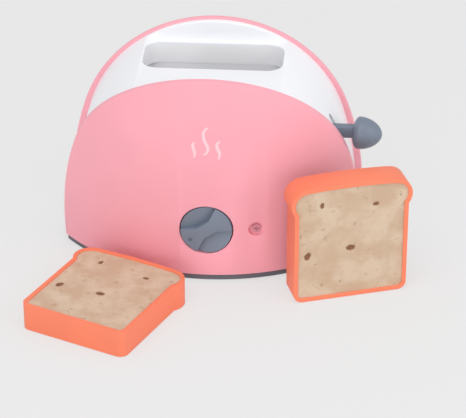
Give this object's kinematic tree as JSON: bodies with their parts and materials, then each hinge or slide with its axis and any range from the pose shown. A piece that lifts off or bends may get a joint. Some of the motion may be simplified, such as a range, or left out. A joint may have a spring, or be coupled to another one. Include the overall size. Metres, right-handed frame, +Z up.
{
  "type": "toy toaster",
  "caption": "Play toaster with bowed arch panels, top slot, push-down lever, wind-up dial with a clockwork timer inside, and toy bread slices.",
  "frame": {"origin": "on the table under the middle of the toaster, at the middle of its underside face between the ends", "axes": "+X to the right as seen from the front, towards the lever; +Y to the back; +Z up"},
  "size_m": [0.2575, 0.2049, 0.154],
  "materials": {
    "pink_plastic": "satin moulded plastic",
    "white_plastic": "smooth moulded plastic",
    "slate_plastic": "satin moulded plastic",
    "grey_plastic": "satin moulded plastic",
    "inner_plastic": "plain moulded plastic",
    "rubber": "soft pads",
    "steel": "drawn rod",
    "screw_steel": "zinc plated",
    "spring_steel": "spring wire and strip",
    "brass": "stamped sheet",
    "crust_plastic": "satin moulded plastic",
    "bread_plastic": "fine textured plastic"
  },
  "bodies": {
    "toaster": {"front_panel": "pink_plastic", "back_panel": "pink_plastic", "body_shell": "white_plastic", "slot_collar": "white_plastic", "toast_well": "white_plastic", "well_walls": "white_plastic", "chassis": "inner_plastic", "base_tray": "grey_plastic", "rubber_pads": "rubber", "base_screws": "screw_steel", "back_screws": "screw_steel", "front_screw": "screw_steel", "guide_posts": "steel", "lever_rail": "steel", "return_springs": "spring_steel", "latch_pin": "steel", "timer_front_plate": "brass", "timer_back_plate": "brass", "timer_pillars": "brass", "timer_screws": "screw_steel", "mainspring": "spring_steel"},
    "lift": {"carriage": "inner_plastic", "lift_bushes": "inner_plastic", "lift_catch": "steel", "lift_bracket": "inner_plastic"},
    "push_lever": {"lever": "slate_plastic", "lever_knob": "slate_plastic"},
    "latch": {"latch_lever": "brass"},
    "dial": {"dial_knob": "slate_plastic", "dial_spindle": "steel", "main_wheel": "brass"},
    "second_arbor": {"second_wheel": "brass"},
    "escape_arbor": {"escape_wheel": "brass"},
    "anchor": {"pallet": "steel"},
    "flat_slice": {"flat_slice_crust": "crust_plastic", "flat_slice_pads": "bread_plastic"},
    "upright_slice": {"upright_slice_crust": "crust_plastic", "upright_slice_pads": "bread_plastic"}
  },
  "joints": [
    {"name": "lever_slide", "type": "slide", "parent": "toaster", "child": "push_lever", "axis": [0.2588, 0, -0.9659], "range_m": [0, 0.027]},
    {"name": "lift_slide", "type": "slide", "parent": "toaster", "child": "lift", "axis": [0, 0, -1], "range_m": [0, 0.02609], "stiffness_N_per_m": 90, "springref_m": -0.02, "deforming": ["return_springs"]},
    {"name": "dial_turn", "type": "hinge", "parent": "toaster", "child": "dial", "pos_m": [0, -0.03, 0.0405], "axis": [0, 1, 0], "range_deg": [0, 270], "stiffness_Nm_per_rad": 0.01, "springref_deg": -22.92, "deforming": ["mainspring"]},
    {"name": "latch_swing", "type": "hinge", "parent": "toaster", "child": "latch", "pos_m": [0.038, -0.03, 0.052], "axis": [0, -1, 0], "range_deg": [0, 20]},
    {"name": "second_spin", "type": "hinge", "parent": "toaster", "child": "second_arbor", "pos_m": [-0.01202, -0.03, 0.05252], "axis": [0, 1, 0], "range_deg": [-1260, 0]},
    {"name": "escape_spin", "type": "hinge", "parent": "toaster", "child": "escape_arbor", "pos_m": [0.0016, -0.03, 0.05748], "axis": [0, 1, 0], "range_deg": [0, 6048]},
    {"name": "anchor_rock", "type": "hinge", "parent": "toaster", "child": "anchor", "pos_m": [0.01088, -0.03, 0.05996], "axis": [0, 1, 0], "range_deg": [-6, 6]},
    {"name": "flat_slice_lift", "type": "slide", "parent": "toaster", "child": "flat_slice", "axis": [0, 0, 1], "range_m": [0, 0.06]},
    {"name": "upright_slice_lift", "type": "slide", "parent": "toaster", "child": "upright_slice", "axis": [0, 0, 1], "range_m": [0, 0.06]}
  ],
  "couplings": [
    {"joint": "lift_slide", "follows": "lever_slide", "ratio": 0.96593},
    {"joint": "latch_swing", "follows": "dial_turn", "ratio": 0.074074},
    {"joint": "second_spin", "follows": "dial_turn", "ratio": -4.6667},
    {"joint": "escape_spin", "follows": "dial_turn", "ratio": 22.4}
  ]
}
